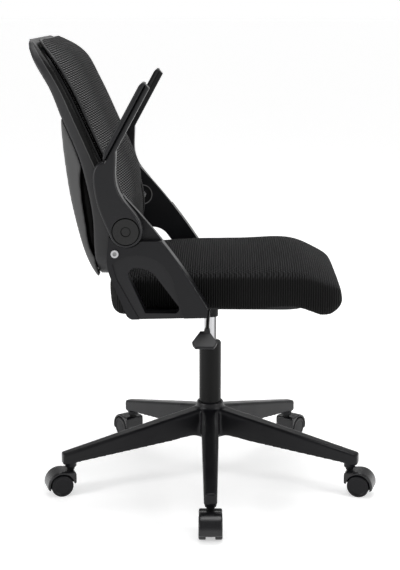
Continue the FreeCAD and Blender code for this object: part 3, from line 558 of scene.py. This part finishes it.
def seat_cloth():
    """Cords across the seat and down its sides, broken into a lattice on top; the top and the sides above
    the crease are painted lit, and the sides below are painted in shade.
    """
    material, tree, shader = new_material("seat_fabric")
    vector = place(tree)
    x, y, z = split_axes(tree, vector)
    normal = facing(tree)
    top = stretch(tree, normal[2], seat_top_low, seat_top_high, 0.0, 1.0)
    facing_x = math_node(tree, "ABSOLUTE", normal[0])
    facing_y = math_node(tree, "ABSOLUTE", normal[1])
    level_normal = math_node(tree, "SUBTRACT", facing_x, facing_y)
    endways = math_node(tree, "MULTIPLY", math_node(tree, "GREATER_THAN", level_normal, seat_endways),
                        math_node(tree, "SUBTRACT", 1.0, top))
    cords_x = wave(tree, x, seat_rib_pitch)
    cords_y = wave(tree, y, seat_rib_pitch)
    cords = math_node(tree, "MULTIPLY_ADD", endways, math_node(tree, "SUBTRACT", cords_y, cords_x), cords_x)
    shift = math_node(tree, "MULTIPLY", x, math.pi / seat_rib_pitch)
    drop = math_node(tree, "SUBTRACT", y, z)
    tie_turn = math_node(tree, "MULTIPLY_ADD", drop, 2 * math.pi / seat_cell_pitch, shift)
    ties = math_node(tree, "SINE", tie_turn)
    crease_low = seat_crease_z - seat_crease_blend
    crease_high = seat_crease_z + seat_crease_blend
    over_crease = stretch(tree, z, crease_low, crease_high, 0.0, 1.0)
    upper = math_node(tree, "MAXIMUM", over_crease, top)
    weave = math_node(tree, "MULTIPLY_ADD", ties, math_node(tree, "MULTIPLY", upper, seat_tie_share), cords)
    height = linted(tree, vector, weave)
    # Painted light: lighter on top and above the crease, painted shade below it
    painted_lighting = mix_colour(tree, upper, grey(seat_shaded_side_level), grey(seat_lit_top_level, cloth_tint))
    threads = stretch(tree, height, seat_thread_low, seat_thread_high, 0.0, 1.0)
    feed_all(tree, shader, {
        "Base Color": mix_colour(tree, threads, grey(seat_gap_level), painted_lighting),
        "Roughness": 0.85,
        "Specular IOR Level": 0.08,
        "Sheen Weight": cloth_sheen,
        "Sheen Roughness": 0.45,
        "Normal": bump(tree, height, depth=0.0007),
    })
    return material


def back_cloth():
    """Knitted mesh: level rows of small loops, each row shifted against the next; painted light lifts it
    towards both sides, and its faces that look sideways are painted in shade.
    """
    material, tree, shader = new_material("back_fabric")
    vector = place(tree)
    x, y, z = split_axes(tree, vector)
    drop = math_node(tree, "MULTIPLY_ADD", x, back_row_slope, z)
    rows = wave(tree, drop, back_row_pitch)
    half_turn = math_node(tree, "MULTIPLY", drop, math.pi / back_row_pitch)
    stitch_turn = math_node(tree, "MULTIPLY_ADD", y, 2 * math.pi / back_stitch_pitch, half_turn)
    loops = math_node(tree, "SINE", stitch_turn)
    height = linted(tree, vector, math_node(tree, "MULTIPLY_ADD", loops, back_loop_share, rows))
    shade = stretch(tree, height, back_thread_low, back_thread_high, 0.0, 1.0)
    # Painted light: lighter towards both sides; painted shade, as dark as the gaps between loops, on the
    # faces that look sideways
    edge = stretch(tree, math_node(tree, "ABSOLUTE", y), back_edge_start, back_edge_end, 0.0, 1.0)
    facing_y = math_node(tree, "ABSOLUTE", facing(tree)[1])
    shaded_side = stretch(tree, facing_y, back_shade_start, back_shade_end, 0.0, 1.0)
    painted_mesh_light = mix_colour(tree, edge, grey(back_middle_level, cloth_tint),
                            grey(back_lit_edge_level, cloth_tint))
    thread = mix_colour(tree, shaded_side, painted_mesh_light, grey(back_gap_and_shade_level))
    feed_all(tree, shader, {
        "Base Color": mix_colour(tree, shade, grey(back_gap_and_shade_level), thread),
        "Roughness": 0.8,
        "Specular IOR Level": 0.10,
        "Sheen Weight": cloth_sheen,
        "Sheen Roughness": 0.4,
        "Normal": bump(tree, height, depth=0.0008),
    })
    return material


def studio_white():
    """A white floor that glows more the farther it is from the chair."""
    material, tree, shader = new_material("studio_floor")
    vector = place(tree)
    x, y, _ = split_axes(tree, vector)
    cloud = noise(tree, vector, floor_pitch, floor_detail)
    away = distance(tree, x, y)
    feed_all(tree, shader, {
        "Base Color": mix_colour(tree, cloud, grey(floor_level), grey(floor_level * floor_lift)),
        "Roughness": 0.6,
        "Specular IOR Level": 0.1,
        "Emission Color": white,
        "Emission Strength": stretch(tree, away, glow_near, glow_far, floor_glow, far_floor_glow),
    })
    return material


black_plastic = moulded_plastic("black_plastic", level=0.006, roughness=0.36)
bracket_plastic = boss_highlight_plastic()
# Painted light: a lighter, glossier copy of the bracket's plastic for the facet round its window
facet_painted_light = moulded_plastic("facet_painted_light", level=0.006, roughness=0.36)
# Painted light: the hoop's front strip and the yoke's middle are painted in shade, the hoop's rear strip and
# the yoke's outer sides are painted lit, and a painted highlight runs along the ridge between them
hoop_plastic = lit_and_shaded_plastic("hoop_plastic", hoop_share, low=0.335, high=0.375,
                                first=(0.004, 0.17), second=(0.020, 0.32), ridge_highlight=0.075)
yoke_plastic = lit_and_shaded_plastic("yoke_plastic", distance_aside, low=0.2235, high=0.2268,
                                first=(0.003, 0.08), second=(0.070, 0.36), ridge_highlight=0.075)
leg_plastic = moulded_plastic("leg_plastic", level=0.005, roughness=0.34, gloss=0.21)
wheel_plastic = moulded_plastic("wheel_plastic", level=0.004, roughness=0.32, gloss=0.20)
hood_plastic = moulded_plastic("hood_plastic", level=0.006, roughness=0.24, gloss=0.42)
bush_plastic = moulded_plastic("bush_plastic", level=0.010, roughness=0.5)
arm_pad_skin = moulded_plastic("arm_pad_skin", level=0.006, roughness=0.45)
trim_plastic = moulded_plastic("trim_plastic", level=0.022, roughness=0.40)
pivot_plastic = cap_plastic()
column_paint = painted_steel("column_paint", level=0.004, roughness=0.40, gloss=0.13)
plate_paint = painted_steel("plate_paint", level=0.006, roughness=0.45, gloss=0.15)
back_bolt_steel = bolt_plating()
tube_chrome = chromed_tube()
bolt_steel = plated_metal("bolt_steel", level=0.62, roughness=0.30)
plain_steel = plated_metal("plain_steel", level=0.55, roughness=0.35)
seat_fabric = seat_cloth()
back_fabric = back_cloth()

slot_material = {
    "leg_plastic": leg_plastic, "black_plastic": black_plastic, "column_paint": column_paint,
    "tube_chrome": tube_chrome, "steel": plain_steel, "bolt_steel": bolt_steel, "bush_plastic": bush_plastic,
    "plate_paint": plate_paint, "seat_fabric": seat_fabric, "back_fabric": back_fabric,
    "arm_pad_skin": arm_pad_skin, "wheel_plastic": wheel_plastic,
}
node_material = {"back_frame": hoop_plastic, "back_yoke": yoke_plastic, "back_bolts": back_bolt_steel}
for side_name in sides:
    node_material["bracket_" + side_name] = bracket_plastic
    node_material["pivot_cap_" + side_name] = pivot_plastic
for caster in casters:
    node_material["caster_hood_%d" % caster] = hood_plastic
    node_material["caster_stem_%d" % caster] = column_paint
node_slot = {entry["node"]: entry["material_slot"] for entry in frame["record"]["subparts"]}
body_of = {name: body for body, names in frame["record"]["behaviour"]["bodies"].items() for name in names}


def finish_of(node_name):
    """The node's own finish, or that of its slot."""
    return node_material.get(node_name, slot_material[node_slot[node_name]])


def dress(thing, material):
    thing.data.materials.clear()
    thing.data.materials.append(material)


for node_name, node in nodes.items():
    dress(node, finish_of(node_name))


# Shared mesh work

def copy_of(node_name, piece_name):
    """A new object with the solid's shape."""
    piece = bpy.data.objects.new(piece_name, nodes[node_name].data.copy())
    scene.collection.objects.link(piece)
    return piece


def apply_modifiers(piece):
    """Turns the piece's shown shape into its own mesh."""
    graph = bpy.context.evaluated_depsgraph_get()
    shown = bpy.data.meshes.new_from_object(piece.evaluated_get(graph))
    piece.modifiers.clear()
    old = piece.data
    piece.data = shown
    bpy.data.meshes.remove(old)


def smooth(thing, limit):
    """Smooth shading that keeps the edges at which faces turn by more than the limit."""
    for polygon in thing.data.polygons:
        polygon.use_smooth = True
    mesh = bmesh.new()
    mesh.from_mesh(thing.data)
    for edge in mesh.edges:
        edge.smooth = len(edge.link_faces) == 2 and edge.calc_face_angle(0.0) < limit
    mesh.to_mesh(thing.data)
    mesh.free()


def remesh(piece, voxel):
    """Gives the piece an even mesh of small squares."""
    modifier = piece.modifiers.new("remesh", "REMESH")
    modifier.mode = "VOXEL"
    modifier.voxel_size = voxel
    apply_modifiers(piece)


def relax(piece, rounds):
    """Rolls the piece's edges over, more with each round."""
    modifier = piece.modifiers.new("relax", "SMOOTH")
    modifier.iterations = rounds
    modifier.factor = relax_factor
    apply_modifiers(piece)


# Soft pieces

def shrink(piece, depth):
    normals = [vertex.normal.copy() for vertex in piece.data.vertices]
    for vertex, normal in zip(piece.data.vertices, normals):
        vertex.co -= normal * depth


def puffed_moves(node_name, depth, cap):
    """Blows a coarse copy of the cover up like stuffed cloth; returns its points and their moves."""
    piece = copy_of(node_name, node_name + "_cloth")
    remesh(piece, cloth_voxel)
    rest = [vertex.co.copy() for vertex in piece.data.vertices]
    shrink(piece, depth)
    cloth = piece.modifiers.new("cloth", "CLOTH")
    cloth.settings.use_pressure = True
    cloth.settings.uniform_pressure_force = cloth_pressure
    cloth.settings.effector_weights.gravity = 0.0
    cloth.settings.tension_stiffness = cloth_stiffness
    cloth.settings.compression_stiffness = cloth_stiffness
    cloth.settings.bending_stiffness = cloth_bending
    cloth.settings.mass = cloth_mass
    cloth.point_cache.frame_start = 1
    cloth.point_cache.frame_end = cloth_frames
    for step in range(1, cloth_frames + 1):
        scene.frame_set(step)
    apply_modifiers(piece)
    scene.frame_set(1)
    moves = [vertex.co - start for vertex, start in zip(piece.data.vertices, rest)]
    moves = [move * min(1.0, cap / max(move.length, smallest_length)) for move in moves]
    mesh = piece.data
    bpy.data.objects.remove(piece)
    bpy.data.meshes.remove(mesh)
    return rest, moves


def follow(piece, rest, moves, holds):
    """Moves the fine skin as the coarse cloth near it moved; holds(point) is 0 where it stays put."""
    tree = KDTree(len(rest))
    for index, point in enumerate(rest):
        tree.insert(point, index)
    tree.balance()
    for vertex in piece.data.vertices:
        total = Vector((0.0, 0.0, 0.0))
        weight_sum = 0.0
        for _, index, gap in tree.find_n(vertex.co, cloth_neighbours):
            weight = 1.0 / (gap + cloth_blend)
            total += moves[index] * weight
            weight_sum += weight
        vertex.co += total * (holds(vertex.co) / weight_sum)


seat_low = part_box("seat_cushion")[0].z
back_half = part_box("back_pad")[1].y


def seat_holds(point):
    """Held under the cushion and free on its sides and top."""
    return min(max((point.z - seat_low - seat_hold) / seat_hold, 0.0), 1.0)


def back_holds(point):
    """Held along both sides of the pad and free between them."""
    return min(max((back_half - abs(point.y)) / back_hold, 0.0), 1.0)


def shape_back(piece):
    """Fills the head of the back out and draws its waist in, most at the middle."""
    normals = [vertex.normal.copy() for vertex in piece.data.vertices]
    for vertex, normal in zip(piece.data.vertices, normals):
        across = max(1.0 - (vertex.co.y / back_half) ** back_flatness, 0.0)
        push = 0.0
        for height, spread, amount in back_fullness:
            push += amount * math.exp(-((vertex.co.z - height) / spread) ** 2)
        vertex.co += normal * (push * max(normal.x, 0.0) * across)


def finish_soft(piece, node_name, material):
    smooth(piece, no_crease)
    dress(piece, material)
    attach(piece, body_of[node_name])
    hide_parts(node_name)


def make_cover(node_name, piece_name, depth, cap, holds, material, shape=None):
    """A stuffed cover in place of a plain cushion solid."""
    piece = copy_of(node_name, piece_name)
    remesh(piece, skin_voxel)
    rest, moves = puffed_moves(node_name, depth, cap)
    follow(piece, rest, moves, holds)
    if shape:
        shape(piece)
    relax(piece, cover_relax)
    modifier = piece.modifiers.new("finer", "SUBSURF")
    modifier.levels = 1
    modifier.render_levels = 1
    apply_modifiers(piece)
    finish_soft(piece, node_name, material)


def make_arm_skin(side_name):
    """The foam top of one arm, with its edges rolled over."""
    node_name = "arm_pad_" + side_name
    piece = copy_of(node_name, "arm_skin_" + side_name)
    remesh(piece, pad_voxel)
    relax(piece, pad_relax)
    finish_soft(piece, node_name, arm_pad_skin)


def trim_path():
    """The edge of the back pad as points, found on its front face."""
    low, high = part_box("back_pad")
    half = high.y - trim_inset
    foot = low.z + trim_inset
    corner_z = high.z - trim_inset - trim_corner
    outline = [(half, foot + (corner_z - foot) * k / trim_points) for k in range(trim_points)]
    for k in range(trim_corner_points):
        angle = 0.5 * math.pi * k / trim_corner_points
        y = half - trim_corner * (1 - math.cos(angle))
        z = corner_z + trim_corner * math.sin(angle)
        outline.append((y, z))
    path = outline + [(-y, z) for y, z in reversed(outline)]
    graph = bpy.context.evaluated_depsgraph_get()
    surface = BVHTree.FromObject(nodes["back_pad"], graph)
    points = []
    for y, z in path:
        hit = surface.ray_cast(Vector((high.x + trim_ray, y, z)), Vector((-1, 0, 0)))[0]
        if hit is not None:
            points.append(hit)
    return points


def make_trim():
    """The plain trim that borders the mesh of the back."""
    points = trim_path()
    data = bpy.data.curves.new("back_trim", "CURVE")
    data.dimensions = "3D"
    data.bevel_depth = trim_radius
    data.bevel_resolution = trim_roundness
    run = data.splines.new("POLY")
    run.points.add(len(points) - 1)
    for target, point in zip(run.points, points):
        target.co = (point.x, point.y, point.z, 1.0)
    trim = bpy.data.objects.new("back_trim", data)
    scene.collection.objects.link(trim)
    graph = bpy.context.evaluated_depsgraph_get()
    mesh = bpy.data.meshes.new_from_object(trim.evaluated_get(graph))
    bpy.data.objects.remove(trim)
    piece = bpy.data.objects.new("back_trim", mesh)
    scene.collection.objects.link(piece)
    smooth(piece, rolled_crease)
    dress(piece, trim_plastic)
    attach(piece, body_of["back_pad"])


make_trim()
make_cover("seat_cushion", "seat_cover", seat_shrink, seat_cap, seat_holds, seat_fabric)
make_cover("back_pad", "back_cover", back_shrink, back_cap, back_holds, back_fabric, shape_back)
for side_name in sides:
    make_arm_skin(side_name)


# Moulded pieces

def soften(node_name, width):
    """Replaces a moulded node by a copy with its edges rounded over."""
    piece = copy_of(node_name, node_name + "_shell")
    shape = bmesh.new()
    shape.from_mesh(piece.data)
    bmesh.ops.remove_doubles(shape, verts=shape.verts, dist=smallest_length)
    bmesh.ops.dissolve_limit(shape, angle_limit=flat_angle, verts=shape.verts, edges=shape.edges)
    inner = [edge for edge in shape.edges if len(edge.link_faces) == 2]
    sharp = [edge for edge in inner if edge.calc_face_angle(0.0) > sharp_angle]
    bmesh.ops.bevel(shape, geom=sharp, offset=width, offset_type="OFFSET", segments=edge_segments,
                    profile=0.5, affect="EDGES", clamp_overlap=True)
    shape.to_mesh(piece.data)
    shape.free()
    smooth(piece, edged_crease)
    piece.modifiers.new("even_shading", "WEIGHTED_NORMAL").keep_sharp = True
    dress(piece, finish_of(node_name))
    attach(piece, body_of[node_name])
    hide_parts(node_name)
    return piece


def dress_bracket(piece):
    """Gives the flat facet round the bracket's window a lighter, glossier copy of the bracket's plastic, as
    painted light on the facet.
    """
    piece.data.materials.append(facet_painted_light)
    facet_index = len(piece.data.materials) - 1
    for polygon in piece.data.polygons:
        in_depth = facet_low_y < abs(polygon.center.y) < facet_high_y
        if in_depth and abs(polygon.normal.y) > facet_facing:
            polygon.material_index = facet_index


def mould(node_name, voxel, rounds, shape=None):
    """Replaces a moulded node by a copy whose edges are rolled over all round."""
    piece = copy_of(node_name, node_name + "_shell")
    remesh(piece, voxel)
    relax(piece, rounds)
    if shape:
        shape(piece)
    smooth(piece, rolled_crease)
    dress(piece, finish_of(node_name))
    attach(piece, body_of[node_name])
    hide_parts(node_name)
    return piece


def blend_roots(piece):
    """Draws the roots of the legs together into round webs, holding the rim round the column."""
    group = piece.vertex_groups.new(name="roots")
    for vertex in piece.data.vertices:
        reach = math.hypot(vertex.co.x, vertex.co.y)
        weight = min((reach - root_rim) / root_fade, (root_reach - reach) / root_fade, 1.0)
        if weight > 0.0:
            group.add([vertex.index], weight, "REPLACE")
    modifier = piece.modifiers.new("webs", "SMOOTH")
    modifier.vertex_group = "roots"
    modifier.iterations = root_rounds
    modifier.factor = relax_factor
    apply_modifiers(piece)


def mark_hoop(piece):
    """Stores on the hoop how far behind its front each point lies, level by level."""
    levels = {}
    for vertex in piece.data.vertices:
        level = round(vertex.co.z / hoop_step)
        front, rear = levels.get(level, (-math.inf, math.inf))
        levels[level] = (max(front, vertex.co.x), min(rear, vertex.co.x))
    shares = []
    for vertex in piece.data.vertices:
        height = vertex.co.z / hoop_step
        below = math.floor(height)
        blend = height - below
        low = levels.get(below, levels.get(below + 1))
        high = levels.get(below + 1, low)
        front = low[0] + (high[0] - low[0]) * blend
        rear = low[1] + (high[1] - low[1]) * blend
        shares.append((front - vertex.co.x) / (front - rear))
    piece.data.attributes.new("hoop_share", "FLOAT", "POINT").data.foreach_set("value", shares)


mould("base_star", star_voxel, star_rounds, blend_roots)
mark_hoop(mould("back_frame", hoop_voxel, hoop_rounds))
mould("back_yoke", yoke_voxel, yoke_rounds)
for side_name in sides:
    dress_bracket(soften("bracket_" + side_name, bracket_edge))
    soften("armrest_" + side_name, armrest_edge)
    soften("pivot_cap_" + side_name, cap_edge)
for caster in casters:
    mould("caster_hood_%d" % caster, hood_voxel, hood_rounds)
    for letter in "ab":
        soften("caster_wheel_%d%s" % (caster, letter), wheel_edge)


# Studio

def make_floor():
    mesh = bpy.data.meshes.new("studio_floor")
    shape = bmesh.new()
    bmesh.ops.create_grid(shape, x_segments=1, y_segments=1, size=floor_half)
    shape.to_mesh(mesh)
    shape.free()
    floor = bpy.data.objects.new("studio_floor", mesh)
    scene.collection.objects.link(floor)
    dress(floor, studio_white())


def make_lamp(name, spot, aim, width, height, power):
    data = bpy.data.lights.new(name, "AREA")
    data.shape = "RECTANGLE"
    data.size = width
    data.size_y = height
    data.energy = power
    lamp = bpy.data.objects.new(name, data)
    lamp.location = spot
    lamp.rotation_euler = (Vector(aim) - Vector(spot)).to_track_quat("-Z", "Y").to_euler()
    scene.collection.objects.link(lamp)


def make_world():
    """White all round at eye level, darker overhead and underneath."""
    world = bpy.data.worlds.new("studio")
    world.use_nodes = True
    tree = world.node_tree
    height = math_node(tree, "ABSOLUTE", split_axes(tree, place(tree))[2])
    feed_all(tree, tree.nodes["Background"], {
        "Color": white,
        "Strength": stretch(tree, height, sky_low, sky_high, 1.0, sky_level),
    })
    scene.world = world


def make_camera():
    data = bpy.data.cameras.new("camera")
    data.sensor_fit = "VERTICAL"
    data.sensor_height = camera_sensor
    data.sensor_width = camera_sensor
    data.lens = camera_lens
    data.clip_end = camera_far
    camera = bpy.data.objects.new("camera", data)
    camera.location = camera_place
    camera.rotation_euler = camera_aim.to_track_quat("-Z", "Y").to_euler()
    scene.collection.objects.link(camera)
    scene.camera = camera


make_floor()
make_world()
make_lamp("top_light", spot=(0.2, 0.1, 3.0), aim=(0, 0, 0.5), width=1.8, height=1.8, power=42.0)
make_lamp("left_light", spot=(-2.5, -1.5, 1.3), aim=(-0.1, 0, 0.7), width=0.7, height=1.8, power=44.0)
make_lamp("right_light", spot=(2.5, -1.5, 1.4), aim=(0, 0, 0.6), width=0.6, height=1.8, power=35.0)
make_lamp("back_light", spot=(0.0, 2.6, 2.4), aim=(0, 0, 0.3), width=2.4, height=0.8, power=13.0)
make_camera()
scene.view_settings.view_transform = "Standard"
